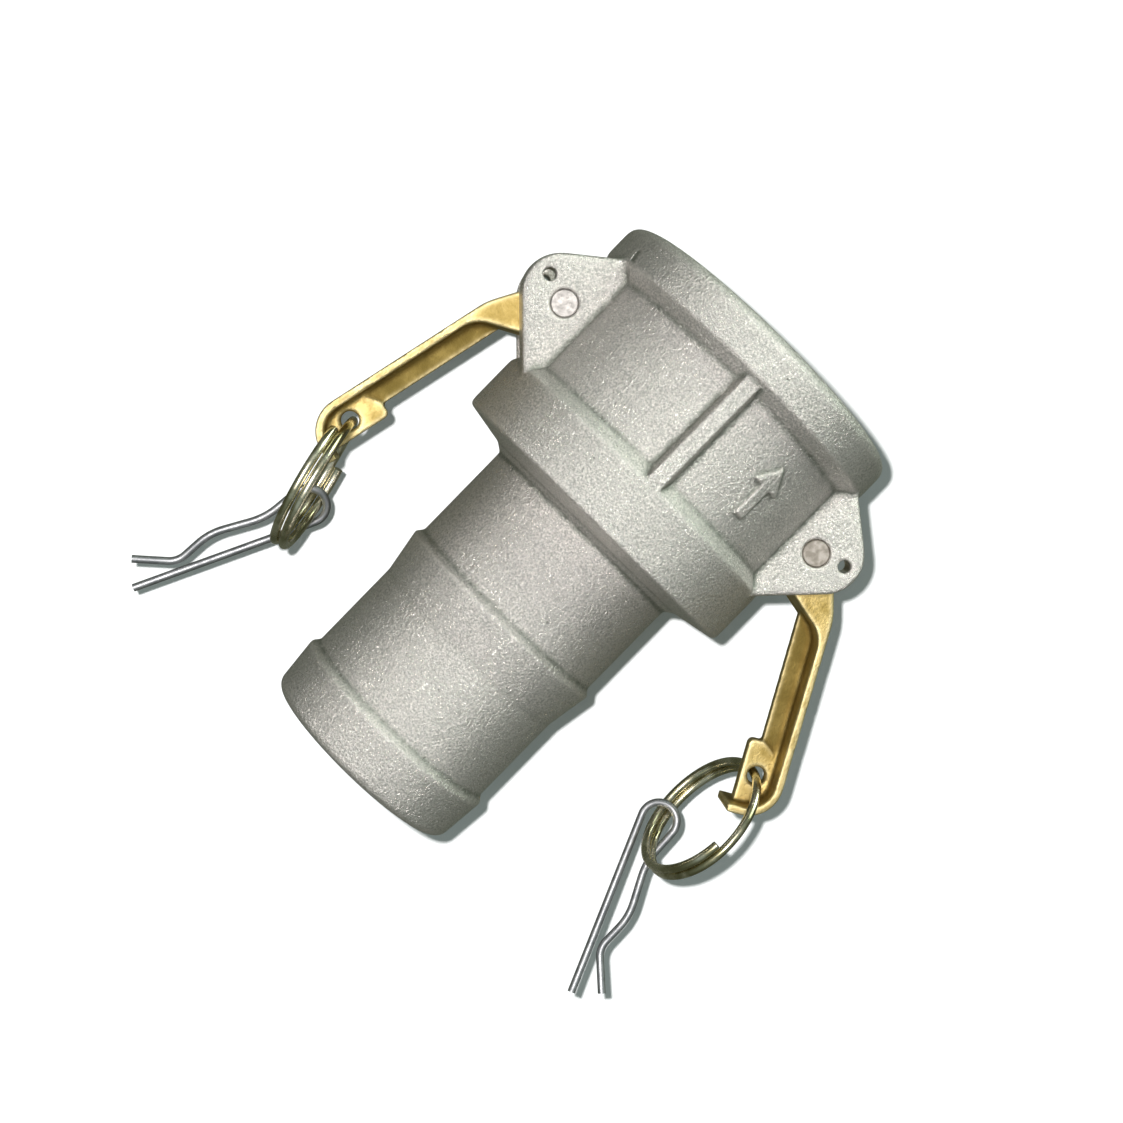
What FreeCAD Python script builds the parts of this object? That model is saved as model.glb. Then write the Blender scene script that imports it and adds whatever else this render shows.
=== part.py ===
import FreeCAD, Part
import math
import os
import re
import Sketcher

# Two-inch cam and groove coupler with a hose shank, in millimetres.
# The bore runs along X, the mouth of the socket is the plane x = 0 and opens towards +X.
# The cam arms swing in the plane z = 0, about upright pins at y = +/- pin_offset.

Vector = FreeCAD.Vector

dimensions = {
    # outside of the casting, stations measured back from the mouth
    "rim_radius": 38.2,
    "rim_length": 9.1,
    "mouth_round": 2.6,
    "panel_radius": 34.9,
    "panel_ledge": 2.9,
    "panel_end": 36.6,
    "collar_radius": 37.2,
    "collar_start": 39.5,
    "collar_end": 52.6,
    "collar_round": 0.7,
    "collar_foot_radius": 27.0,
    "collar_foot": 54.5,
    "shank_radius": 25.0,
    "shank_start": 55.9,
    "waist_radius": 24.5,
    "barb_radius": 26.2,
    "barb_crest": 81.0,
    "barb_step": 1.5,
    "barb_foot": 91.0,
    "tail_barb_radius": 25.7,
    "tail_barb_crest": 114.2,
    "tail_radius": 24.6,
    "tail_round": 2.6,
    "length": 126.0,
    # inside of the casting
    "socket_radius": 32.0,
    "socket_depth": 44.5,
    "lead_in": 0.8,
    "gasket_seat_radius": 33.45,
    "gasket_seat_width": 6.35,
    "throat_radius": 25.2,
    "throat_length": 3.2,
    "bore_radius": 21.5,
    "bore_chamfer": 0.4,
    # axial ribs between the panels
    "rib_top": 37.1,
    "rib_top_half": 1.65,
    "rib_foot_half": 3.3,
    "rib_foot": 33.6,
    # ears
    "pin_station": 24.2,
    "pin_offset": 37.6,
    "pin_radius": 3.0,
    "ear_hole_radius": 3.02,
    "ear_hole_chamfer": 0.35,
    "ear_face": 16.0,
    "slot_half": 8.9,
    "ear_draft": 4.0,
    "ear_tail_x": 42.4,
    "ear_tail_y": 32.0,
    "ear_peak_x": 22.3,
    "ear_peak_y": 51.95,
    "ear_tip_round": 8.3,
    "ear_mouth_x": 7.3,
    "ear_mouth_y": 33.0,
    "ear_foot_y": 29.5,
    "lock_hole_x": 22.0,
    "lock_hole_y": 44.0,
    "lock_hole_radius": 1.4,
    "window_tail": 11.4,
    "window_mouth": 6.0,
    # gasket
    "gasket_inner_radius": 25.8,
    "gasket_outer_radius": 33.35,
    "gasket_thickness": 6.2,
    "gasket_round": 0.8,
    # cam arm, drawn shut: lever along -X, its outer side towards +Y, pin hole at the origin
    "arm_half": 8.5,
    "arm_end_half": 7.3,
    "head_radius": 5.5,
    "neck_slope": 15.4,
    "flange_outer": 9.35,
    "flange_inner": 7.6,
    "neck_round": 14.0,
    "arm_length": 60.0,
    "end_wall": 1.8,
    "end_drop": 1.5,
    "end_round": 7.6,
    "hollow_x": 17.3,
    "hollow_round": 7.0,
    "neck_x": 11.6,
    "neck_y": 1.0,
    "nose_depth": 11.0,
    "nose_x": 6.0,
    "nose_shoulder": 5.4,
    "nose_round": 5.2,
    "groove_radius": 27.85,
    "web_half": 1.3,
    "web_edge": 3.15,
    "boss_half": 1.7,
    "boss_x": 43.7,
    "boss_slope_x": 47.0,
    "boss_edge": 0.3,
    "boss_round": 1.3,
    "ring_hole_x": 51.6,
    "ring_hole_y": 4.0,
    "ring_hole_radius": 2.0,
    "ring_hole_chamfer": 0.5,
    "arm_bore_radius": 3.06,
    # pin
    "pin_length": 31.6,
    "pin_chamfer": 0.3,
    # split ring of two turns that cross over where the ring passes through the arm
    "ring_radius": 15.5,
    "ring_wire": 1.0,
    "ring_layer": 1.1,
    "ring_sweep": 213.0,
    # R clip
    "clip_wire": 0.9,
    "clip_reach": 47.5,
    "clip_eye_round": 4.2,
    "clip_eye_depth": 10.3,
    "clip_dip_x": 33.5,
    "clip_dip_y": 5.0,
    "clip_dip_round": 16.0,
    "clip_crest_x": 20.5,
    "clip_crest_y": 6.0,
    "clip_crest_round": 14.0,
    "clip_nip_x": 11.5,
    "clip_nip_y": 2.3,
    "clip_nip_round": 5.0,
    "clip_tip_x": 2.3,
    "clip_tip_y": 6.6,
    # stance: how far each arm, ring and clip stands from the shut position
    "left_arm_angle": 12.9,
    "right_arm_angle": 28.8,
    "left_ring_yaw": 14.6,
    "right_ring_yaw": 4.7,
    "left_ring_lean": 5.0,
    "right_ring_lean": 14.5,
    "ring_droop": 8.0,
    "left_ring_spin": -27.0,
    "right_ring_spin": 28.0,
    "left_clip_angle": 25.8,
    "right_clip_angle": 21.0,
    "left_clip_lift": 0.6,
    "right_clip_lift": 11.5,
    "left_clip_roll": 17.0,
    "right_clip_roll": 1.6,
    # where each clip is threaded: how far round the ring, and the point of the clip it meets
    "left_thread_turn": 129.0,
    "right_thread_turn": 144.7,
    "left_thread_x": 42.6,
    "right_thread_x": 40.3,
    "left_thread_y": 2.95,
    "right_thread_y": 3.85,
}

doc = FreeCAD.newDocument("camlock_coupling")
sheet = doc.addObject("Spreadsheet::Sheet", "size")
for row, (alias, number) in enumerate(dimensions.items(), start=1):
    sheet.set(f"A{row}", alias)
    sheet.set(f"B{row}", str(number))
    sheet.setAlias(f"B{row}", alias)
doc.recompute()


def bound(text):
    """The formula with each dimension's name turned into a reference to its cell."""
    return re.sub(r"[a-z_]{4,}", lambda word: "size." + word[0] if word[0] in dimensions else word[0], text)


def value(text):
    return float(sheet.evalExpression(bound(text)))


def bind(thing, prop, text):
    thing.setExpression(prop, bound(text))


# ---------------------------------------------------------------- sketch and feature helpers

def originPart(body, role):
    return [item for item in body.Origin.OriginFeatures if item.Role == role][0]


def newBody(name):
    body = doc.addObject("PartDesign::Body", name)
    body.Label = name
    return body


def newSketch(body, name, role, offset=None):
    sketch = body.newObject("Sketcher::SketchObject", name)
    sketch.AttachmentSupport = (originPart(body, role), [""])
    sketch.MapMode = "FlatFace"
    if offset:
        bind(sketch, "AttachmentOffset.Base.z", offset)
    return sketch


def pinPoint(sketch, line, end, corner):
    """Holds one end of a line, or a point, at a corner given as two formulas."""
    for kind, text in zip(("DistanceX", "DistanceY"), corner):
        index = sketch.addConstraint(Sketcher.Constraint(kind, line, end, value(text)))
        bind(sketch, f"Constraints[{index}]", text)


def cornerArc(before, corner, after, radius):
    """The arc that rounds a corner, and whether it turns anticlockwise."""
    back = (before - corner).normalize()
    ahead = (after - corner).normalize()
    half = back.getAngle(ahead) / 2
    middle = corner + (back + ahead).normalize() * (radius / math.sin(half))
    reach = radius / math.tan(half)
    leave = corner + back * reach
    join = corner + ahead * reach
    left = (back.cross(ahead)).z < 0
    first, last = (leave, join) if left else (join, leave)
    start = math.atan2(first.y - middle.y, first.x - middle.x)
    stop = math.atan2(last.y - middle.y, last.x - middle.x)
    if stop < start:
        stop += 2 * math.pi
    arc = Part.ArcOfCircle(Part.Circle(middle, Vector(0, 0, 1), radius), start, stop)
    return arc, left, leave, join


def drawOutline(sketch, corners, closed=True):
    """Lines through the corners, each (x, y) or (x, y, radius) in formulas, with rounded corners as arcs."""
    points = [Vector(value(c[0]), value(c[1]), 0) for c in corners]
    count = len(corners)
    rounds = {}
    for i, corner in enumerate(corners):
        if len(corner) == 3:
            rounds[i] = cornerArc(points[i - 1], points[i], points[(i + 1) % count], value(corner[2]))
    sides = count if closed else count - 1
    lines = []
    for i in range(sides):
        j = (i + 1) % count
        start = rounds[i][3] if i in rounds else points[i]
        stop = rounds[j][2] if j in rounds else points[j]
        lines.append(sketch.addGeometry(Part.LineSegment(start, stop), False))
    for i, corner in enumerate(corners):
        into = lines[i - 1] if closed or i > 0 else None
        out = lines[i] if i < sides else None
        if i in rounds:
            arc, left, _, _ = rounds[i]
            bend = sketch.addGeometry(arc, False)
            spot = sketch.addGeometry(Part.Point(points[i]), True)
            near, far = (1, 2) if left else (2, 1)
            sketch.addConstraint(Sketcher.Constraint("Tangent", into, 2, bend, near))
            sketch.addConstraint(Sketcher.Constraint("Tangent", out, 1, bend, far))
            sketch.addConstraint(Sketcher.Constraint("PointOnObject", spot, 1, into))
            sketch.addConstraint(Sketcher.Constraint("PointOnObject", spot, 1, out))
            pinPoint(sketch, spot, 1, corner)
            index = sketch.addConstraint(Sketcher.Constraint("Radius", bend, arc.Radius))
            bind(sketch, f"Constraints[{index}]", corner[2])
        elif out is None:
            pinPoint(sketch, into, 2, corner)
        else:
            if into is not None:
                sketch.addConstraint(Sketcher.Constraint("Coincident", into, 2, out, 1))
            pinPoint(sketch, out, 1, corner)


def drawCircle(sketch, centre, radius):
    middle = Vector(value(centre[0]), value(centre[1]), 0)
    ring = sketch.addGeometry(Part.Circle(middle, Vector(0, 0, 1), value(radius)), False)
    pinPoint(sketch, ring, 3, centre)
    index = sketch.addConstraint(Sketcher.Constraint("Radius", ring, value(radius)))
    bind(sketch, f"Constraints[{index}]", radius)


def addFeature(body, kind, name, sketch, **bindings):
    """A sketch-based feature, with its bound sizes given as keyword formulas."""
    feature = body.newObject("PartDesign::" + kind, name)
    feature.Profile = sketch
    for prop, text in bindings.items():
        bind(feature, prop, text)
    return feature


def padBoth(body, name, sketch, thickness):
    """A pad that grows the same amount to both sides of its sketch."""
    pad = addFeature(body, "Pad", name, sketch, Length=thickness)
    pad.SideType = "Symmetric"
    return pad


def cutThrough(body, name, sketch):
    """A pocket right through the body, to both sides of its sketch."""
    pocket = addFeature(body, "Pocket", name, sketch)
    pocket.SideType = "Symmetric"
    pocket.Type = "ThroughAll"
    return pocket


def cutWithin(body, name, sketch, width):
    pocket = addFeature(body, "Pocket", name, sketch, Length=width)
    pocket.SideType = "Symmetric"
    return pocket


def turn(body, kind, name, sketch, role):
    feature = addFeature(body, kind, name, sketch)
    feature.ReferenceAxis = (originPart(body, role), [""])
    feature.Angle = 360
    return feature


def mirror(body, name, features, role):
    copy = body.newObject("PartDesign::Mirrored", name)
    copy.Originals = features
    copy.MirrorPlane = (originPart(body, role), [""])
    body.Tip = copy
    return copy


def mirrorTwice(body, name, feature):
    """Four copies of a feature: above and below, and to both sides."""
    copies = body.newObject("PartDesign::MultiTransform", name)
    steps = []
    for suffix, role in (("_down", "XY_Plane"), ("_across", "XZ_Plane")):
        step = doc.addObject("PartDesign::Mirrored", name + suffix)
        body.addObject(step)
        step.MirrorPlane = (originPart(body, role), [""])
        steps.append(step)
    copies.Originals = [feature]
    copies.Transformations = steps
    return copies


def dress(body, kind, name, wanted, prop, size):
    """A fillet or chamfer on every edge of the body's last feature that wanted() picks."""
    doc.recompute()
    base = body.Tip
    names = [f"Edge{i}" for i, edge in enumerate(base.Shape.Edges, start=1) if wanted(edge)]
    feature = body.newObject("PartDesign::" + kind, name)
    feature.Base = (base, names)
    bind(feature, prop, size)
    return feature


# ---------------------------------------------------------------- the casting

def castingProfile():
    return [
        ("0", "rim_radius", "mouth_round"),
        ("-rim_length", "rim_radius", "collar_round"),
        ("-rim_length - panel_ledge", "panel_radius", "collar_round"),
        ("-panel_end", "panel_radius", "collar_round"),
        ("-collar_start", "collar_radius", "collar_round"),
        ("-collar_end", "collar_radius", "collar_round"),
        ("-collar_foot", "collar_foot_radius"),
        ("-shank_start", "shank_radius"),
        ("-barb_crest + barb_step", "shank_radius"),
        ("-barb_crest", "barb_radius"),
        ("-barb_foot", "waist_radius"),
        ("-tail_barb_crest + barb_step", "waist_radius"),
        ("-tail_barb_crest", "tail_barb_radius"),
        ("-length", "tail_radius", "tail_round"),
        ("-length", "bore_radius + bore_chamfer"),
        ("-length + bore_chamfer", "bore_radius"),
        ("0", "bore_radius"),
    ]


def socketProfile():
    return [
        ("1", "0"),
        ("1", "socket_radius + lead_in"),
        ("0", "socket_radius + lead_in"),
        ("-lead_in", "socket_radius"),
        ("-socket_depth", "socket_radius"),
        ("-socket_depth", "gasket_seat_radius"),
        ("-socket_depth - gasket_seat_width", "gasket_seat_radius"),
        ("-socket_depth - gasket_seat_width", "throat_radius"),
        ("-socket_depth - gasket_seat_width - throat_length", "bore_radius"),
        ("-socket_depth - gasket_seat_width - throat_length", "0"),
    ]


def earOutline():
    return [
        ("-ear_tail_x", "ear_foot_y"),
        ("-ear_tail_x", "ear_tail_y"),
        ("-ear_peak_x", "ear_peak_y", "ear_tip_round"),
        ("-ear_mouth_x", "ear_mouth_y"),
        ("-ear_mouth_x", "ear_foot_y"),
    ]


def isEarHole(edge):
    return edge.Closed and abs(abs(edge.CenterOfMass.z) - value("ear_face")) < 0.01


def makeCasting():
    body = newBody("coupler_body")
    profile = newSketch(body, "casting_profile", "XY_Plane")
    drawOutline(profile, castingProfile())
    turn(body, "Revolution", "casting", profile, "X_Axis")

    rib = newSketch(body, "rib_section", "YZ_Plane", "-rim_length + 1")
    drawOutline(rib, [
        ("-rib_foot_half", "rib_foot"),
        ("rib_foot_half", "rib_foot"),
        ("rib_top_half", "rib_top"),
        ("-rib_top_half", "rib_top"),
    ])
    top_rib = addFeature(body, "Pad", "top_rib", rib, Length="collar_start - rim_length + 2")
    top_rib.Reversed = True
    mirror(body, "both_ribs", [top_rib], "XY_Plane")

    outline = newSketch(body, "ear_outline", "XY_Plane", "ear_face")
    drawOutline(outline, earOutline())
    ear = addFeature(body, "Pad", "ear", outline, Length="ear_face - slot_half", TaperAngle="ear_draft")
    ear.Reversed = True
    body.Tip = mirrorTwice(body, "four_ears", ear)

    socket = newSketch(body, "socket_profile", "XY_Plane")
    drawOutline(socket, socketProfile())
    turn(body, "Groove", "socket", socket, "X_Axis")

    window = newSketch(body, "window_outline", "XY_Plane")
    drawOutline(window, [
        ("-pin_station - window_tail", "socket_radius - 8"),
        ("-pin_station + window_mouth", "socket_radius - 8"),
        ("-pin_station + window_mouth", "ear_peak_y"),
        ("-pin_station - window_tail", "ear_peak_y"),
    ])
    opening = cutWithin(body, "window", window, "2 * slot_half")
    holes = newSketch(body, "pin_hole", "XY_Plane")
    drawCircle(holes, ("-pin_station", "pin_offset"), "ear_hole_radius")
    pin_hole = cutThrough(body, "pin_holes", holes)
    locks = newSketch(body, "lock_hole", "XY_Plane")
    drawCircle(locks, ("-lock_hole_x", "lock_hole_y"), "lock_hole_radius")
    lock_hole = cutThrough(body, "lock_holes", locks)
    mirror(body, "both_sides", [opening, pin_hole, lock_hole], "XZ_Plane")
    dress(body, "Chamfer", "hole_mouths", isEarHole, "Size", "ear_hole_chamfer")
    return body


def makeGasket():
    body = newBody("socket_gasket")
    section = newSketch(body, "gasket_section", "XY_Plane")
    front = "-socket_depth - (gasket_seat_width - gasket_thickness) / 2"
    back = front + " - gasket_thickness"
    drawOutline(section, [
        (front, "gasket_inner_radius", "gasket_round"),
        (front, "gasket_outer_radius", "gasket_round"),
        (back, "gasket_outer_radius", "gasket_round"),
        (back, "gasket_inner_radius", "gasket_round"),
    ])
    turn(body, "Revolution", "gasket", section, "X_Axis")
    return body


# ---------------------------------------------------------------- cam arms

def armOutline():
    """Head, neck, lever flange and the wall round its end, at the arm's full width."""
    rise = "tan(neck_slope)"
    offset = "head_radius / cos(neck_slope)"
    return [
        ("head_radius", f"{offset} - head_radius * {rise}", "head_radius - 0.01"),
        (f"-(flange_outer - {offset}) / {rise}", "flange_outer", "neck_round"),
        ("-arm_length", "flange_outer", "end_round"),
        ("-arm_length", "-end_drop"),
        ("-arm_length + end_wall", "-end_drop"),
        ("-arm_length + end_wall", "flange_inner", "end_round - end_wall"),
        ("-hollow_x", "flange_inner", "hollow_round"),
        ("-neck_x", "neck_y"),
        ("-nose_x", "-nose_shoulder", "nose_round / 2"),
        ("-nose_x", "-nose_depth", "nose_round"),
        ("head_radius", "-nose_depth", "nose_round"),
    ]


def webOutline():
    slope = "(hollow_x - neck_x) / (flange_inner - neck_y)"
    return [
        (f"-neck_x + 1 - (web_edge - neck_y) * {slope}", "web_edge"),
        ("-arm_length + end_wall / 2", "web_edge"),
        ("-arm_length + end_wall / 2", "flange_inner - 3"),
        ("-arm_length + end_round", "flange_inner + 0.4"),
        ("-hollow_x + 1", "flange_inner + 0.4"),
    ]


def bossOutline():
    return [
        ("-boss_x", "boss_edge", "boss_round"),
        ("-boss_x", "web_edge + 0.5", "boss_round"),
        ("-boss_slope_x", "flange_inner + 0.5"),
        ("-arm_length + end_wall - 0.3", "flange_inner + 0.5", "end_round - end_wall - 0.2"),
        ("-arm_length + end_wall - 0.3", "boss_edge"),
    ]


def isRingHole(edge):
    on_face = abs(abs(edge.CenterOfMass.z) - value("boss_half")) < 0.01
    return on_face and edge.Closed


def makeArm(name):
    body = newBody(name)
    lever = newSketch(body, name + "_outline", "XY_Plane")
    drawOutline(lever, armOutline())
    padBoth(body, name + "_lever", lever, "2 * arm_half")

    sides = newSketch(body, name + "_taper", "XZ_Plane")
    drawOutline(sides, [
        ("-hollow_x", "arm_half"),
        ("-arm_length - 1", "arm_end_half"),
        ("-arm_length - 1", "arm_half + 1"),
        ("-hollow_x", "arm_half + 1"),
    ])
    taper = cutThrough(body, name + "_upper_taper", sides)
    mirror(body, name + "_both_tapers", [taper], "XY_Plane")

    web = newSketch(body, name + "_web_outline", "XY_Plane")
    drawOutline(web, webOutline())
    padBoth(body, name + "_web", web, "2 * web_half")
    boss = newSketch(body, name + "_boss_outline", "XY_Plane")
    drawOutline(boss, bossOutline())
    padBoth(body, name + "_boss", boss, "2 * boss_half")

    hollow = newSketch(body, name + "_nose_hollow", "YZ_Plane")
    drawCircle(hollow, ("-pin_offset", "0"), "groove_radius")
    cutThrough(body, name + "_hollow", hollow)
    bore = newSketch(body, name + "_pin_bore", "XY_Plane")
    drawCircle(bore, ("0", "0"), "arm_bore_radius")
    cutThrough(body, name + "_bore", bore)
    eye = newSketch(body, name + "_ring_hole", "XY_Plane")
    drawCircle(eye, ("-ring_hole_x", "ring_hole_y"), "ring_hole_radius")
    cutThrough(body, name + "_hole", eye)
    dress(body, "Chamfer", name + "_hole_mouths", isRingHole, "Size", "ring_hole_chamfer")
    return body


def makePin(name):
    body = newBody(name)
    section = newSketch(body, name + "_section", "XY_Plane", "-pin_length / 2")
    drawCircle(section, ("0", "0"), "pin_radius")
    addFeature(body, "Pad", name + "_shaft", section, Length="pin_length")
    dress(body, "Chamfer", name + "_ends", lambda edge: edge.Closed, "Size", "pin_chamfer")
    return body


# ---------------------------------------------------------------- rings and clips

def addTorus(body, name, layer, start, lean):
    """One stretch of the ring's wire, in the ring's own plane or leaning across it."""
    torus = body.newObject("PartDesign::AdditiveTorus", name)
    torus.AttachmentSupport = (originPart(body, "XY_Plane"), [""])
    torus.MapMode = "FlatFace"
    flat = FreeCAD.Rotation(Vector(0, 0, 1), start)
    tilt = FreeCAD.Rotation(Vector(1, 0, 0), lean)
    torus.AttachmentOffset = FreeCAD.Placement(Vector(0, 0, layer), tilt * flat)
    bind(torus, "Radius2", "ring_wire")
    return torus


def makeRing(name):
    body = newBody(name)
    layer = value("ring_layer")
    lean = value("asin(ring_layer / ring_radius)")
    flat_radius = "sqrt(ring_radius ^ 2 - ring_layer ^ 2)"
    upper = addTorus(body, name + "_upper_turn", layer, 90, 0)
    bind(upper, "Radius1", flat_radius)
    bind(upper, "Angle3", "ring_sweep")
    lower = addTorus(body, name + "_lower_turn", -layer, 270 - value("ring_sweep"), 0)
    bind(lower, "Radius1", flat_radius)
    bind(lower, "Angle3", "ring_sweep")
    crossing = addTorus(body, name + "_crossing", 0, -90, lean)
    bind(crossing, "Radius1", "ring_radius")
    crossing.Angle3 = 180
    return body


def clipPath():
    """The straight leg from its tip, round the eye and back down the wavy leg."""
    return [
        ("0", "0"),
        ("clip_reach", "0", "clip_eye_round"),
        ("clip_reach", "clip_eye_depth", "clip_eye_round"),
        ("clip_dip_x", "clip_dip_y", "clip_dip_round"),
        ("clip_crest_x", "clip_crest_y", "clip_crest_round"),
        ("clip_nip_x", "clip_nip_y", "clip_nip_round"),
        ("clip_tip_x", "clip_tip_y"),
    ]


def makeClip(name):
    body = newBody(name)
    path = newSketch(body, name + "_path", "XY_Plane")
    drawOutline(path, clipPath(), closed=False)
    section = newSketch(body, name + "_section", "YZ_Plane")
    drawCircle(section, ("0", "0"), "clip_wire")
    wire = body.newObject("PartDesign::AdditivePipe", name + "_wire")
    wire.Profile = section
    wire.Spine = (path, [f"Edge{i + 1}" for i in range(len(clipPath()) * 2 - 3)])
    return body


# ---------------------------------------------------------------- stance

def sideFrame(side, angle):
    """Unit vectors in the plane z = 0: one that leans out from -X by an angle in degrees, one across it."""
    lean = math.radians(angle)
    along = Vector(-math.cos(lean), side * math.sin(lean), 0)
    across = Vector(math.sin(lean), side * math.cos(lean), 0)
    return along, across


def tidy(vector):
    return tuple(round(part, 4) for part in vector)


def placed(origin, x_axis, z_axis):
    return FreeCAD.Placement(origin, FreeCAD.Rotation(x_axis, z_axis.cross(x_axis), z_axis, "ZXY"))


def placeSide(name, side):
    """Puts the arm, pin, ring and clip of one side (+1 left, -1 right) where they stand."""
    up = Vector(0, 0, 1)
    pivot = Vector(-value("pin_station"), side * value("pin_offset"), 0)
    along, across = sideFrame(side, value(f"{name}_arm_angle"))
    arm = doc.getObject(f"cam_arm_{name}")
    arm.Placement = placed(pivot, along * -1, up * side)
    pin = doc.getObject(f"pivot_pin_{name}")
    pin.Placement = FreeCAD.Placement(pivot, FreeCAD.Rotation())

    hole = pivot + along * value("ring_hole_x") + across * value("ring_hole_y")
    outward, sideways = sideFrame(side, -value(f"{name}_ring_yaw"))
    droop = math.radians(value("ring_droop"))
    lean = math.radians(value(f"{name}_ring_lean"))
    radial = outward * math.cos(droop) - up * math.sin(droop)
    rise = up * math.cos(droop) + outward * math.sin(droop)
    climb = rise * math.cos(lean) + sideways * math.sin(lean)
    ring = doc.getObject(f"pull_ring_{name}")
    ring_radius = value("ring_radius")
    axle = climb.cross(radial)
    spin = FreeCAD.Rotation(axle, value(f"{name}_ring_spin"))
    ring.Placement = placed(hole + radial * ring_radius, spin * (radial * -1), axle)

    turned = math.radians(value(f"{name}_thread_turn"))
    thread = hole + radial * ring_radius * (1 - math.cos(turned)) - climb * ring_radius * math.sin(turned)
    lift = math.radians(value(f"{name}_clip_lift"))
    roll = math.radians(value(f"{name}_clip_roll"))
    flat_leg, flat_wavy = sideFrame(side, value(f"{name}_clip_angle"))
    leg = flat_leg * math.cos(lift) + up * math.sin(lift)
    tilted_up = up * math.cos(lift) - flat_leg * math.sin(lift)
    wavy = flat_wavy * math.cos(roll) + tilted_up * math.sin(roll)
    clip = doc.getObject(f"safety_clip_{name}")
    start = thread + leg * value(f"{name}_thread_x") - wavy * value(f"{name}_thread_y")
    clip.Placement = placed(start, leg * -1, (leg * -1).cross(wavy))
    wire = radial * math.sin(turned) - climb * math.cos(turned)
    print(name, "pivot", tidy(pivot), "ring hole", tidy(hole))
    print(name, "thread", tidy(thread), "along the wire", tidy(wire))


makeCasting()
makeGasket()
for side_name, side_sign in (("left", 1), ("right", -1)):
    makeArm(f"cam_arm_{side_name}")
    makePin(f"pivot_pin_{side_name}")
    makeRing(f"pull_ring_{side_name}")
    makeClip(f"safety_clip_{side_name}")
    placeSide(side_name, side_sign)
doc.recompute()

# ---------------------------------------------------------------- checks and files

for thing in doc.Objects:
    if "Invalid" in thing.State or "Error" in thing.State:
        raise RuntimeError(f"{thing.Name} failed: {thing.State}")
bodies = doc.findObjects("PartDesign::Body")
for body in bodies:
    if body.Shape.isNull() or not body.Shape.isValid() or len(body.Shape.Solids) != 1:
        raise RuntimeError(f"{body.Label} has no single valid solid")
os.makedirs("parts", exist_ok=True)
for body in bodies:
    body.Shape.exportStep(f"parts/{body.Label}.step")
    print(body.Label, round(body.Shape.Volume, 1), "mm3")
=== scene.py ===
import math

import bmesh
import bpy
import numpy as np
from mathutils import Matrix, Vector


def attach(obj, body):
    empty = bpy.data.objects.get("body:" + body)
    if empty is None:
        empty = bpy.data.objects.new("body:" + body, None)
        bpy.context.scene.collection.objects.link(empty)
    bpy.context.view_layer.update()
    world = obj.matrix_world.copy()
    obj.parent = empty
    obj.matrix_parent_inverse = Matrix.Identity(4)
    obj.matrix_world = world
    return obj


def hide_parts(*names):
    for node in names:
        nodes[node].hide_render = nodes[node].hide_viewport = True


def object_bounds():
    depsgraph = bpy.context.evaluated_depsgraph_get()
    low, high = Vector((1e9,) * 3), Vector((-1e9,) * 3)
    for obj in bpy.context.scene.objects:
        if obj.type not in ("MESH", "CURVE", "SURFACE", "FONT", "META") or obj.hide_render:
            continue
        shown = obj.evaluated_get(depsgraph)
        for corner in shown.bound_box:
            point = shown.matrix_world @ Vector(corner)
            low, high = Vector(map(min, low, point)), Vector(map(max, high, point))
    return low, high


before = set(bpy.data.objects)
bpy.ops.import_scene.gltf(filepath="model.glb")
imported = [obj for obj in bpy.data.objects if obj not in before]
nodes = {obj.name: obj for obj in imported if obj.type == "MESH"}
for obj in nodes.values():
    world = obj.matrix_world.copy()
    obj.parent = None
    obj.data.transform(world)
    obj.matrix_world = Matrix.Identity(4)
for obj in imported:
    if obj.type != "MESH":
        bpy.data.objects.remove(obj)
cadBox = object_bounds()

mm = 0.001  # sizes are in millimetres unless a note says metres


# mesh tools that the body and the arms share
def applied(obj):
    # swaps an object's mesh for what its modifiers make of it
    graph = bpy.context.evaluated_depsgraph_get()
    mesh = bpy.data.meshes.new_from_object(obj.evaluated_get(graph))
    old = obj.data
    obj.modifiers.clear()
    obj.data = mesh
    bpy.data.meshes.remove(old)


def meshCopy(node, name):
    obj = bpy.data.objects.new(name, nodes[node].data.copy())
    bpy.context.scene.collection.objects.link(obj)
    obj.data.materials.clear()
    return obj


def join(obj, other):
    with bpy.context.temp_override(active_object=obj, selected_editable_objects=[obj, other]):
        bpy.ops.object.join()


def remesh(obj, voxel):
    tool = obj.modifiers.new("cast skin", "REMESH")
    tool.mode = "VOXEL"
    tool.voxel_size = voxel * mm
    tool.use_smooth_shade = True
    applied(obj)


def readPoints(mesh):
    points = np.empty(len(mesh.vertices) * 3)
    mesh.vertices.foreach_get("co", points)
    return points.reshape(-1, 3) / mm


def readEdges(mesh):
    ends = np.empty(len(mesh.edges) * 2, int)
    mesh.edges.foreach_get("vertices", ends)
    return ends.reshape(-1, 2)


def writePoints(mesh, points):
    mesh.vertices.foreach_set("co", (points * mm).ravel())
    mesh.update()


class Relax:
    # moves each point part of the way to the middle of its neighbours

    def __init__(self, mesh):
        ends = readEdges(mesh)
        self.count = len(mesh.vertices)
        self.start = np.concatenate([ends[:, 0], ends[:, 1]])
        self.stop = np.concatenate([ends[:, 1], ends[:, 0]])
        self.degree = np.maximum(np.bincount(self.start, minlength=self.count), 1)

    def middle(self, values):
        sums = [np.bincount(self.start, weights=column[self.stop], minlength=self.count)
                for column in values.T]
        return np.stack(sums, 1) / self.degree[:, None]

    def run(self, values, rounds, share=0.5):
        for _ in range(rounds):
            values = values + (self.middle(values) - values) * share
        return values


def vertexNormals(mesh):
    normals = np.empty(len(mesh.vertices) * 3)
    mesh.vertices.foreach_get("normal", normals)
    return normals.reshape(-1, 3)


def softStep(values, low, high):
    part = np.clip((values - low) / (high - low), 0, 1)
    return part * part * (3 - 2 * part)


def smoothShaded(mesh):
    for face in mesh.polygons:
        face.use_smooth = True


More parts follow.
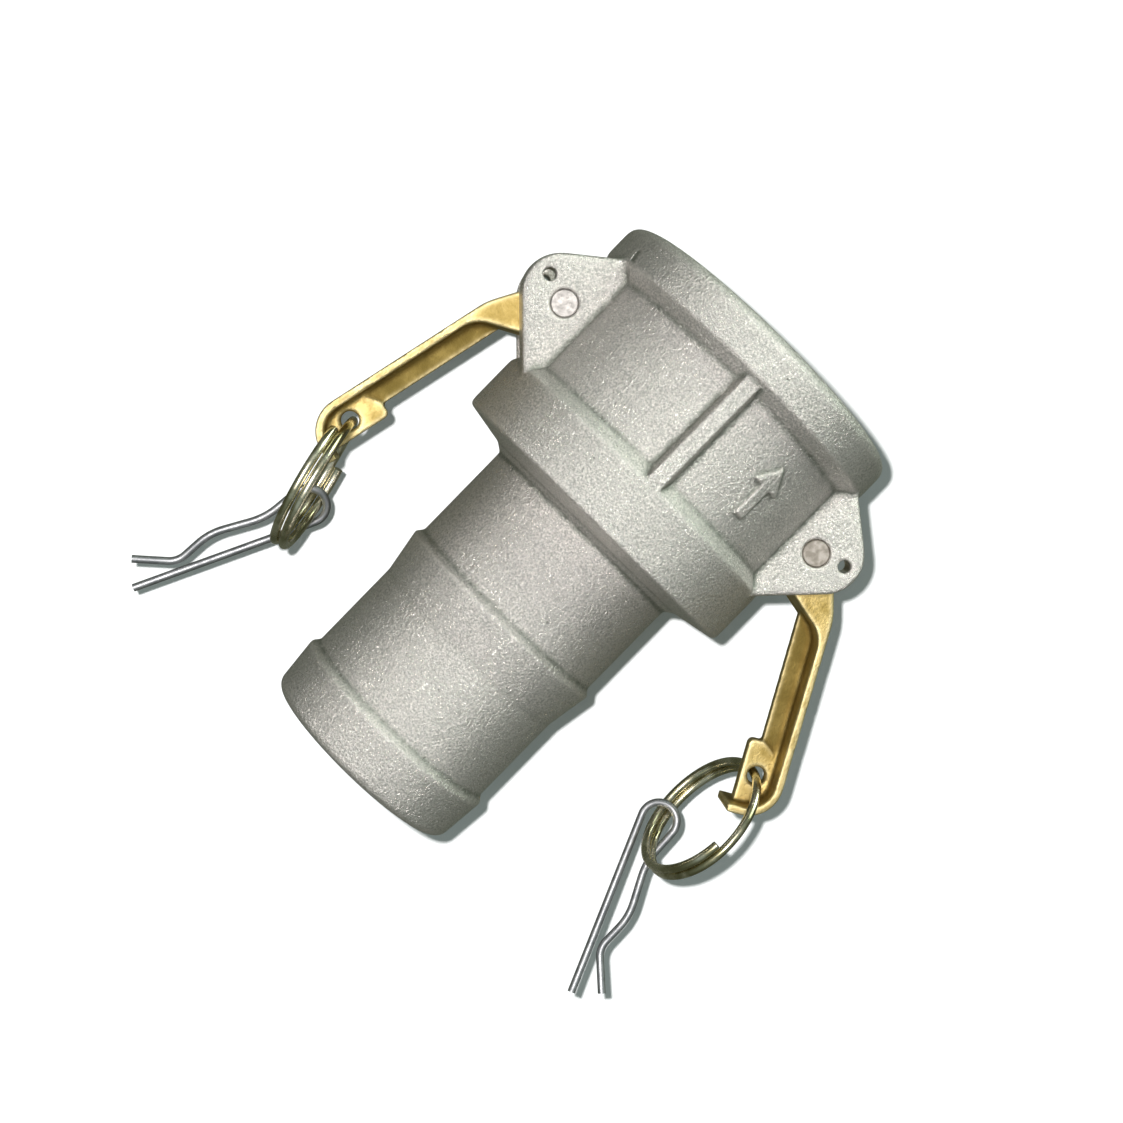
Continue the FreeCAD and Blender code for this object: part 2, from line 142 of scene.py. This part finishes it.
def storeMask(mesh, name, mask):
    mesh.attributes.new(name, "FLOAT", "POINT").data.foreach_set("value", mask)


def storeWearAndShade(mesh, relax, rounds, reach, dark=0.0):
    # leaves two masks on the points: edge where the skin bulges, for wear, and cavity where it is
    # hollow, for painted shade; reach is the bulge that counts as fully worn or fully shaded
    points = readPoints(mesh)
    bulge = ((points - relax.run(points, rounds)) * vertexNormals(mesh)).sum(1)
    storeMask(mesh, "edge", np.clip(bulge / reach, 0, 1))
    storeMask(mesh, "cavity", np.clip(np.maximum(-bulge / reach, dark), 0, 1))


# shader tools
def addNode(tree, kind, sockets=None, **settings):
    made = tree.nodes.new("ShaderNode" + kind)
    for name, value in settings.items():
        setattr(made, name, value)
    for name, value in (sockets or {}).items():
        if isinstance(value, bpy.types.NodeSocket):
            tree.links.new(value, made.inputs[name])
        else:
            made.inputs[name].default_value = value
    return made


def newGroup(name, inputs, outputs):
    group = bpy.data.node_groups.new(name, "ShaderNodeTree")
    for socket, value in inputs.items():
        kind = "NodeSocketColor" if isinstance(value, tuple) else "NodeSocketFloat"
        group.interface.new_socket(socket, in_out="INPUT", socket_type=kind).default_value = value
    for socket, kind in outputs.items():
        group.interface.new_socket(socket, in_out="OUTPUT", socket_type="NodeSocket" + kind)
    return group, group.nodes.new("NodeGroupInput"), group.nodes.new("NodeGroupOutput")


def useGroup(tree, group, **values):
    made = tree.nodes.new("ShaderNodeGroup")
    made.node_tree = group
    for name, value in values.items():
        made.inputs[name].default_value = value
    return made


def newMaterial(name, **values):
    material = bpy.data.materials.new(name)
    material.use_nodes = True
    tree = material.node_tree
    shader = tree.nodes["Principled BSDF"]
    for socket, value in values.items():
        shader.inputs[socket.replace("_", " ")].default_value = value
    return material, tree, shader


def mathNode(tree, operation, first, second, clamp=False):
    made = addNode(tree, "Math", {0: first, 1: second}, operation=operation, use_clamp=clamp)
    return made.outputs[0]


def scaled(tree, value, factor):
    return mathNode(tree, "MULTIPLY", value, factor)


def noise(tree, place, size, finer=1.0, **settings):
    # size is a socket with the pattern's size in metres
    scale = mathNode(tree, "DIVIDE", finer, size)
    sockets = {"Vector": place, "Scale": scale}
    sockets.update({name.capitalize(): value for name, value in settings.items()})
    return addNode(tree, "TexNoise", sockets).outputs[0]


def multiplyAdd(tree, value, factor, start):
    made = addNode(tree, "Math", {0: value, 1: factor, 2: start}, operation="MULTIPLY_ADD")
    return made.outputs[0]


def mixColour(tree, amount, first, second):
    # 0, 6 and 7 are the node's factor and colour sockets, and output 2 is its colour
    made = addNode(tree, "Mix", data_type="RGBA")
    for socket, value in ((0, amount), (6, first), (7, second)):
        if isinstance(value, bpy.types.NodeSocket):
            tree.links.new(value, made.inputs[socket])
        else:
            made.inputs[socket].default_value = value
    return made.outputs[2]


def ramp(tree, value, low, high):
    made = addNode(tree, "MapRange", {"Value": value, "From Min": low, "From Max": high})
    made.interpolation_type = "SMOOTHSTEP"
    return made.outputs[0]


# where each pattern of the noises starts and where it is full
gritSteps = {
    "sparkle": (0.34, 0.68), "blotch": (0.36, 0.66), "porous": (0.56, 0.60), "pore": (0.10, 0.05),
    "porePerBlotch": 1.6,
}
wearShadeSteps = {"patch": (0.3, 0.62), "least": 0.5, "more": 0.7}
scuffSteps = {"smear": (0.4, 0.65), "stain": (0.38, 0.64)}


# blast grit: a fine rough height, bright sparkles and slow blotches; Grain and Blotch are in metres
def buildGrit():
    group, given, out = newGroup(
        "blastGrit", {"Grain": 0.0006, "Blotch": 0.006},
        {"Height": "Float", "Sparkle": "Float", "Blotch": "Float", "Pits": "Float"})
    steps = gritSteps
    place = addNode(group, "TexCoord").outputs["Object"]
    grain, blotch = given.outputs["Grain"], given.outputs["Blotch"]
    coarse = noise(group, place, grain, detail=3.0, roughness=0.75)
    fine = noise(group, place, grain, finer=1.3, detail=2.0, roughness=0.7)
    slow = noise(group, place, blotch, detail=4.0, roughness=0.6)
    poreScale = mathNode(group, "DIVIDE", steps["porePerBlotch"], blotch)
    pores = addNode(group, "TexVoronoi", {"Vector": place, "Scale": poreScale}).outputs["Distance"]
    porous = ramp(group, slow, *steps["porous"])
    pits = mathNode(group, "MULTIPLY", ramp(group, pores, *steps["pore"]), porous)
    group.links.new(coarse, out.inputs["Height"])
    group.links.new(ramp(group, fine, *steps["sparkle"]), out.inputs["Sparkle"])
    group.links.new(ramp(group, slow, *steps["blotch"]), out.inputs["Blotch"])
    group.links.new(pits, out.inputs["Pits"])
    return group


# wear and painted shade: the stored edge mask for wear and the cavity mask for painted shade in
# hollows, broken up so that no outline is even; Breakup is in metres
def buildWearAndShade():
    group, given, out = newGroup(
        "edgeWearAndHollowShade", {"Breakup": 0.002}, {"Edge": "Float", "Cavity": "Float"})
    steps = wearShadeSteps
    place = addNode(group, "TexCoord").outputs["Object"]
    patchy = noise(group, place, given.outputs["Breakup"], detail=4.0, roughness=0.6)
    uneven = ramp(group, patchy, *steps["patch"])
    for name in ("edge", "cavity"):
        stored = addNode(group, "Attribute", attribute_name=name).outputs["Fac"]
        share = multiplyAdd(group, uneven, steps["more"], steps["least"])
        kept = mathNode(group, "MULTIPLY", stored, share, clamp=True)
        group.links.new(kept, out.inputs[name.capitalize()])
    return group


# drawn and plated wire: faint dings, smears and stains; Size and Stain are in metres
def buildScuff():
    group, given, out = newGroup(
        "platedScuff", {"Size": 0.0012, "Stain": 0.004},
        {"Height": "Float", "Smear": "Float", "Stain": "Float"})
    steps = scuffSteps
    place = addNode(group, "TexCoord").outputs["Object"]
    size = given.outputs["Size"]
    dings = noise(group, place, size, detail=5.0, roughness=0.6)
    smears = noise(group, place, size, detail=2.0, distortion=1.5)
    stains = noise(group, place, given.outputs["Stain"], detail=4.0, roughness=0.55)
    group.links.new(dings, out.inputs["Height"])
    group.links.new(ramp(group, smears, *steps["smear"]), out.inputs["Smear"])
    group.links.new(ramp(group, stains, *steps["stain"]), out.inputs["Stain"])
    return group


gritGroup = buildGrit()
wearShadeGroup = buildWearAndShade()
scuffGroup = buildScuff()
print("shader groups ready")


def bumpInto(tree, shader, height, strength, distance):
    bump = addNode(tree, "Bump", {"Height": height, "Strength": strength, "Distance": distance * mm})
    tree.links.new(bump.outputs[0], shader.inputs["Normal"])


def spreadRoughness(tree, mask, look):
    # roughest where the mask is nothing, and look["rough"] in the middle
    return multiplyAdd(tree, mask, -look["roughSpread"], look["rough"] + look["roughSpread"] / 2)


# in every finish grain, blotch, breakup, size and stain are in metres;
# a name that ends in Share is how much of its colour shows where its mask is full
castingFinish = {
    "bright": (0.55, 0.535, 0.51, 1), "dull": (0.48, 0.467, 0.445, 1), "cavity": (0.24, 0.255, 0.22, 1),
    "sparkle": (1.0, 0.955, 0.92, 1), "grain": 0.0006, "blotch": 0.008,
    "edgeShare": 0.35, "sparkleShare": 0.85, "cavityShare": 0.8, "pitShare": 0.6,
    "metallic": 0.80, "rough": 0.35, "roughSpread": 0.03, "sparkleGloss": 0.08,
    "bump": 1.0, "bumpHeight": 0.44, "pitDepth": 0.4,
}


def castingMaterial():
    look = castingFinish
    material, tree, shader = newMaterial("blastedCasting", Metallic=look["metallic"])
    grit = useGroup(tree, gritGroup, Grain=look["grain"], Blotch=look["blotch"]).outputs
    wearShade = useGroup(tree, wearShadeGroup).outputs
    colour = mixColour(tree, grit["Blotch"], look["dull"], look["bright"])
    # edges take the sparkle colour as wear, and hollows take the cavity colour as painted shade; pores
    # take the cavity colour too
    for mask, share, tint in ((wearShade["Edge"], "edgeShare", "sparkle"),
                              (grit["Sparkle"], "sparkleShare", "sparkle"),
                              (wearShade["Cavity"], "cavityShare", "cavity"),
                              (grit["Pits"], "pitShare", "cavity")):
        colour = mixColour(tree, scaled(tree, mask, look[share]), colour, look[tint])
    tree.links.new(colour, shader.inputs["Base Color"])
    gloss = scaled(tree, grit["Sparkle"], look["sparkleGloss"])
    rough = mathNode(tree, "SUBTRACT", spreadRoughness(tree, grit["Blotch"], look), gloss)
    tree.links.new(rough, shader.inputs["Roughness"])
    pitsDown = scaled(tree, grit["Pits"], look["pitDepth"])
    height = mathNode(tree, "SUBTRACT", grit["Height"], pitsDown)
    bumpInto(tree, shader, height, look["bump"], look["bumpHeight"])
    return material


brassFinish = {
    "bright": (0.52, 0.405, 0.165, 1), "deep": (0.37, 0.275, 0.085, 1), "edge": (0.90, 0.77, 0.44, 1),
    # the two darkest colours, for the low web and the inner corners, are painted shade
    "cavity": (0.22, 0.14, 0.035, 1), "shadedWeb": (0.22, 0.165, 0.045, 1),
    "grain": 0.0007, "blotch": 0.005, "breakup": 0.003,
    "shadedWebShare": 0.85, "cavityShare": 0.75, "edgeShare": 0.7,
    "rough": 0.52, "roughSpread": 0.10, "recessRough": 0.12, "bump": 0.8, "bumpHeight": 0.14,
}


def brassMaterial():
    look = brassFinish
    material, tree, shader = newMaterial("satinBrass", Metallic=1.0)
    grit = useGroup(tree, gritGroup, Grain=look["grain"], Blotch=look["blotch"]).outputs
    wearShade = useGroup(tree, wearShadeGroup, Breakup=look["breakup"]).outputs
    # painted shade: the low web between the flanges takes a dark colour
    shadedWeb = addNode(tree, "Attribute", attribute_name="shadedWeb").outputs["Fac"]
    colour = mixColour(tree, grit["Blotch"], look["deep"], look["bright"])
    # the inner corners take the dark cavity colour as a painted shadow line, and edges take the pale
    # edge colour as wear
    for mask, name in ((shadedWeb, "shadedWeb"), (wearShade["Cavity"], "cavity"), (wearShade["Edge"], "edge")):
        colour = mixColour(tree, scaled(tree, mask, look[name + "Share"]), colour, look[name])
    tree.links.new(colour, shader.inputs["Base Color"])
    duller = scaled(tree, shadedWeb, look["recessRough"])
    rough = mathNode(tree, "ADD", spreadRoughness(tree, grit["Blotch"], look), duller)
    tree.links.new(rough, shader.inputs["Roughness"])
    bumpInto(tree, shader, grit["Height"], look["bump"], look["bumpHeight"])
    return material


pinFinish = {"rough": 0.48, "bump": 0.8, "size": 0.0009, "stain": 0.002, "metallic": 1.0}
leftPinFinish = {**pinFinish, "clean": (0.47, 0.455, 0.44, 1), "stained": (0.32, 0.31, 0.30, 1)}
rightPinFinish = {**pinFinish, "clean": (0.40, 0.375, 0.34, 1), "stained": (0.24, 0.22, 0.19, 1),
                  "rough": 0.46}
ringFinish = {
    "clean": (0.94, 0.88, 0.70, 1), "stained": (0.50, 0.46, 0.28, 1),
    "rough": 0.18, "bump": 0.02, "size": 0.006, "stain": 0.006, "metallic": 1.0,
}
clipFinish = {
    "clean": (0.44, 0.45, 0.47, 1), "stained": (0.33, 0.34, 0.36, 1),
    "rough": 0.40, "bump": 0.15, "size": 0.001, "stain": 0.004, "metallic": 0.9,
}
scuffRough, scuffHeight = 0.12, 0.05


def platedMaterial(name, look):
    material, tree, shader = newMaterial(name, Metallic=look["metallic"])
    scuff = useGroup(tree, scuffGroup, Size=look["size"], Stain=look["stain"]).outputs
    colour = mixColour(tree, scuff["Stain"], look["stained"], look["clean"])
    tree.links.new(colour, shader.inputs["Base Color"])
    rough = multiplyAdd(tree, scuff["Smear"], scuffRough, look["rough"])
    tree.links.new(rough, shader.inputs["Roughness"])
    bumpInto(tree, shader, scuff["Height"], look["bump"], scuffHeight)
    return material


rubberFinish = {
    "dark": (0.012, 0.012, 0.013, 1), "pale": (0.035, 0.035, 0.036, 1),
    "grain": 0.0005, "blotch": 0.004,
    "shine": 0.4, "rough": 0.55, "roughSpread": 0.15, "bump": 0.3, "bumpHeight": 0.05,
}


def rubberMaterial():
    look = rubberFinish
    material, tree, shader = newMaterial("blackNitrile", Specular_IOR_Level=look["shine"])
    grit = useGroup(tree, gritGroup, Grain=look["grain"], Blotch=look["blotch"]).outputs
    colour = mixColour(tree, grit["Blotch"], look["dark"], look["pale"])
    tree.links.new(colour, shader.inputs["Base Color"])
    rough = multiplyAdd(tree, grit["Blotch"], look["roughSpread"], look["rough"])
    tree.links.new(rough, shader.inputs["Roughness"])
    bumpInto(tree, shader, grit["Height"], look["bump"], look["bumpHeight"])
    return material


castAluminium = castingMaterial()
satinBrass = brassMaterial()
pinSteel = {
    "left": platedMaterial("brightPinSteel", leftPinFinish),
    "right": platedMaterial("wornPinSteel", rightPinFinish),
}
yellowZinc = platedMaterial("yellowZinc", ringFinish)
brightZinc = platedMaterial("brightZinc", clipFinish)
blackNitrile = rubberMaterial()
print("materials ready")


# body casting; a pair of distances is where a mask starts and where it is full
castingShape = {
    "voxel": 0.33,              # size of the new skin's squares
    "machined": 1,              # rounds of smoothing that even the holes get
    "allOver": 1,               # rounds that everything but the holes gets
    "ears": 20,                 # rounds on the ears, whose edges are round
    "earSide": (31.0, 35.0),    # distance to the side of the bore's axis
    "earRadius": (35.5, 37.0),  # distance from the bore's axis
    "earHalfHeight": 19.0,
    "pinAt": (-24.2, 37.6), "pinKept": (3.3, 4.6),
    "lockAt": (-22.0, 44.0), "lockKept": (1.6, 2.6),
    "innerWall": (33.7, 34.4),  # nothing inside this radius is rounded with the ears
    "wearShadeRounds": 12, "wearShadeReach": 0.08,
}

# a short casting flaw where the left ear runs into the rim, on the upper side only
nick = {"start": (-8.0, 33.7), "end": (-6.0, 34.0), "width": (0.2, 0.6), "above": 12.0, "depth": 0.5}

arrowMark = {
    "x": -24.5, "turn": -30.0,  # degrees round the bore from straight up
    "length": 13.0, "width": 7.5, "shaft": 2.4, "head": 5.2,
    "height": 0.75, "root": 0.8,  # above the panel, and below it
    "panelRadius": 34.9,
}


# a generic flow arrow, raised on the panel beside the right ear
def buildArrow():
    look = arrowMark
    panel = look["panelRadius"]
    half, neck = look["length"] / 2, look["length"] / 2 - look["head"]
    shaft, wing = look["shaft"] / 2, look["width"] / 2
    outline = [(-half, shaft), (neck, shaft), (neck, wing), (half, 0),
               (neck, -wing), (neck, -shaft), (-half, -shaft)]
    shape = bmesh.new()
    rows = []
    for radius in (panel - look["root"], panel + look["height"]):
        row = []
        for along, across in outline:
            angle = math.radians(look["turn"]) + across / panel
            place = Vector((look["x"] + along, radius * math.sin(angle), radius * math.cos(angle)))
            row.append(shape.verts.new(place * mm))
        rows.append(row)
    shape.faces.new(rows[1])
    shape.faces.new(list(reversed(rows[0])))
    count = len(outline)
    for i in range(count):
        shape.faces.new([rows[0][i], rows[0][(i + 1) % count], rows[1][(i + 1) % count], rows[1][i]])
    bmesh.ops.recalc_face_normals(shape, faces=shape.faces)
    mesh = bpy.data.meshes.new("flowArrow")
    shape.to_mesh(mesh)
    shape.free()
    obj = bpy.data.objects.new("flowArrow", mesh)
    bpy.context.scene.collection.objects.link(obj)
    return obj


def nickMask(points):
    start, end = np.array(nick["start"]), np.array(nick["end"])
    along = np.clip((points[:, :2] - start) @ (end - start) / ((end - start) @ (end - start)), 0, 1)
    away = np.linalg.norm(points[:, :2] - start - along[:, None] * (end - start), axis=1)
    return (1 - softStep(away, *nick["width"])) * (points[:, 2] > nick["above"])


def buildCasting():
    look = castingShape
    casting = meshCopy("coupler_body", "coupler_casting")
    join(casting, buildArrow())
    remesh(casting, look["voxel"])
    mesh = casting.data
    relax = Relax(mesh)
    points = relax.run(readPoints(mesh), look["machined"])
    outward, radius = np.abs(points[:, 1]), np.hypot(points[:, 1], points[:, 2])
    ears = softStep(outward, *look["earSide"]) * softStep(radius, *look["earRadius"])
    ears *= np.abs(points[:, 2]) < look["earHalfHeight"]
    crisp = 1.0
    for hole in ("pin", "lock"):
        x, side = look[hole + "At"]
        crisp = crisp * softStep(np.hypot(points[:, 0] - x, outward - side), *look[hole + "Kept"])
    outside = softStep(radius, *look["innerWall"])
    for i in range(look["ears"]):
        share = 0.5 * crisp * np.where(i < look["allOver"], 1.0, ears * outside)
        points = points + (relax.middle(points) - points) * share[:, None]
    flaw = nickMask(points)
    points[:, 2] -= nick["depth"] * flaw
    writePoints(mesh, points)
    # the nick also takes the cavity colour, painted shade in the dent
    storeWearAndShade(mesh, relax, look["wearShadeRounds"], look["wearShadeReach"], flaw)
    mesh.materials.append(castAluminium)
    smoothShaded(mesh)
    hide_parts("coupler_body")
    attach(casting, "coupler")
    return casting


casting = buildCasting()
print("body casting ready:", len(casting.data.vertices), "points")


# cam arms
armShape = {
    "voxel": 0.26,
    "rounds": 4,                # edges
    "hollowRounds": 26,         # inside corners get a wide fillet
    "hollowReach": 14, "hollowDepth": (0.02, 0.10), "hollowSpread": 6, "hollowGain": 1.6,
    "webFace": (1.36, 1.66),    # height where the web, whose brass is darkened as painted shade, turns into flange
    "flatFrom": 0.6, "recessSpread": 2,
    "wearShadeRounds": 16, "wearShadeReach": 0.10,
}


def storeWebShade(mesh, relax, points):
    # painted shade: one on the low web between the flanges, nothing on the flanges and the boss
    low = 1 - softStep(np.abs(points[:, 2]), *armShape["webFace"])
    low *= np.abs(vertexNormals(mesh)[:, 2]) > armShape["flatFrom"]
    storeMask(mesh, "shadedWeb", relax.run(low[:, None], armShape["recessSpread"])[:, 0])


def buildArm(side):
    look = armShape
    arm = meshCopy(f"cam_arm_{side}", f"cam_arm_{side}_cast")
    remesh(arm, look["voxel"])
    mesh = arm.data
    relax = Relax(mesh)
    points = relax.run(readPoints(mesh), look["rounds"])
    writePoints(mesh, points)
    hollow = ((relax.run(points, look["hollowReach"]) - points) * vertexNormals(mesh)).sum(1)
    mask = relax.run(softStep(hollow, *look["hollowDepth"])[:, None], look["hollowSpread"])
    mask = np.clip(mask * look["hollowGain"], 0, 1)
    for _ in range(look["hollowRounds"]):
        points = points + (relax.middle(points) - points) * 0.5 * mask
    writePoints(mesh, points)
    storeWearAndShade(mesh, relax, look["wearShadeRounds"], look["wearShadeReach"])
    storeWebShade(mesh, relax, points)
    mesh.materials.append(satinBrass)
    smoothShaded(mesh)
    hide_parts(f"cam_arm_{side}")
    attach(arm, f"arm_{side}")
    return arm


for side in ("left", "right"):
    arm = buildArm(side)
    print(side, "arm ready:", len(arm.data.vertices), "points")


# wire, pins and gasket keep their exact shape and take their finish
def dressNode(node, material):
    obj = nodes[node]
    obj.data.materials.clear()
    obj.data.materials.append(material)


for side in ("left", "right"):
    dressNode(f"pivot_pin_{side}", pinSteel[side])
    dressNode(f"pull_ring_{side}", yellowZinc)
    dressNode(f"safety_clip_{side}", brightZinc)
dressNode("socket_gasket", blackNitrile)
print("wire parts dressed")


# floor, light and camera; the floor and the box light are in metres
studio = {
    "floorSize": 3.0, "floorColour": (0.93, 0.935, 0.93, 1), "floorFleck": (0.95, 0.95, 0.95, 1),
    "floorGap": 0.02,
    "flashPower": 46.0, "flashRadius": 5.0, "flashBeside": (-2.0, 26.0, 0.0),
    "keyPower": 1.9, "keyColour": (1.0, 0.94, 0.91), "keyAngle": 14.0, "keyFrom": (-0.04, 0.19, 1.0),
    "boxPower": 1.0, "boxSize": 0.42, "boxFrom": (-0.09, 0.10, 0.60), "boxAim": (-0.06, 0.0, 0.0),
    "sidePower": 1.8, "sideAngle": 40.0, "sideFrom": (1.0, -0.10, 0.30),
    "sideColour": (0.86, 1.0, 0.86),
    "skyTop": (0.74, 0.89, 0.88, 1), "skySide": (0.25, 0.28, 0.21, 1), "skyPower": 0.36,
    "skyHeights": (0.15, 0.95), "wall": (0.80, 0.82, 0.82, 1), "dark": (0, 0, 0, 1),
}

# millimetres and degrees
cameraPlace = {
    "location": (-54.6, 40.6, 406.7), "turn": (-5.03, -3.338, -45.566), "lens": 59.69, "sensor": 36.0,
}


def pointAt(obj, start):
    obj.rotation_euler = Vector(start).to_track_quat("Z", "Y").to_euler()


def addLamp(name, kind, power, start, floor, onFloor):
    # one lamp lights the floor and the others light the part, so each has its own brightness
    lamp = bpy.data.objects.new(name, bpy.data.lights.new(name, kind))
    lamp.data.energy = power
    bpy.context.scene.collection.objects.link(lamp)
    pointAt(lamp, start)
    lit = bpy.data.collections.new(name + "Lights")
    lit.objects.link(floor)
    lamp.light_linking.receiver_collection = lit
    lit.collection_objects[0].light_linking.link_state = "INCLUDE" if onFloor else "EXCLUDE"
    return lamp


def buildFloor():
    look = studio
    size = look["floorSize"] / 2
    mesh = bpy.data.meshes.new("paleFloor")
    low = cadBox[0][2] - look["floorGap"] * mm
    corners = [(-size, -size, low), (size, -size, low), (size, size, low), (-size, size, low)]
    mesh.from_pydata(corners, [], [(0, 1, 2, 3)])
    floor = bpy.data.objects.new("paleFloor", mesh)
    bpy.context.scene.collection.objects.link(floor)
    material, tree, shader = newMaterial("paleFloorPaint", Roughness=0.9, Specular_IOR_Level=0.1)
    place = addNode(tree, "TexCoord").outputs["Object"]
    paper = addNode(tree, "TexNoise", {"Vector": place, "Scale": 40.0, "Detail": 3.0})
    tint = mixColour(tree, paper.outputs[0], look["floorColour"], look["floorFleck"])
    tree.links.new(tint, shader.inputs["Base Color"])
    mesh.materials.append(material)
    # the metal's low sides see the dim room, not the floor
    floor.visible_glossy = False
    floor.visible_diffuse = False
    return floor


def buildStudio():
    look = studio
    floor = buildFloor()
    flash = addLamp("floorFlash", "POINT", 1.0, (0, 0, 1), floor, True)
    flash.data.shadow_soft_size = look["flashRadius"] * mm
    flash.location = (Vector(cameraPlace["location"]) + Vector(look["flashBeside"])) * mm
    flash.data.use_nodes = True
    steady = addNode(flash.data.node_tree, "LightFalloff", {"Strength": look["flashPower"]})
    emission = flash.data.node_tree.nodes["Emission"]
    flash.data.node_tree.links.new(steady.outputs["Constant"], emission.inputs["Strength"])
    key = addLamp("keySun", "SUN", look["keyPower"], look["keyFrom"], floor, False)
    key.data.angle = math.radians(look["keyAngle"])
    key.data.color = look["keyColour"]
    side = addLamp("sideGlow", "SUN", look["sidePower"], look["sideFrom"], floor, False)
    side.data.angle = math.radians(look["sideAngle"])
    side.data.color = look["sideColour"]
    box = addLamp("softBox", "AREA", look["boxPower"], look["boxFrom"], floor, False)
    box.data.size = look["boxSize"]
    box.data.color = look["keyColour"]
    box.location = look["boxFrom"]
    pointAt(box, Vector(look["boxFrom"]) - Vector(look["boxAim"]))

    world = bpy.data.worlds.new("room")
    bpy.context.scene.world = world
    world.use_nodes = True
    tree = world.node_tree
    up = addNode(tree, "SeparateXYZ", {0: addNode(tree, "TexCoord").outputs["Generated"]}).outputs[2]
    colour = mixColour(tree, ramp(tree, up, *look["skyHeights"]), look["skySide"], look["skyTop"])
    glow = mixColour(tree, look["skyPower"], look["dark"], colour)
    # the wall behind looks pale and lights nothing
    seen = addNode(tree, "LightPath").outputs["Is Camera Ray"]
    tree.links.new(mixColour(tree, seen, glow, look["wall"]), tree.nodes["Background"].inputs[0])


def buildCamera():
    look = cameraPlace
    camera = bpy.data.objects.new("camera", bpy.data.cameras.new("camera"))
    camera.data.lens = look["lens"]
    camera.data.sensor_width = look["sensor"]
    camera.location = Vector(look["location"]) * mm
    camera.rotation_euler = [math.radians(part) for part in look["turn"]]
    bpy.context.scene.collection.objects.link(camera)
    bpy.context.scene.camera = camera


buildStudio()
buildCamera()
bpy.context.scene.view_settings.view_transform = "Standard"
print("studio ready")

bpy.context.view_layer.update()
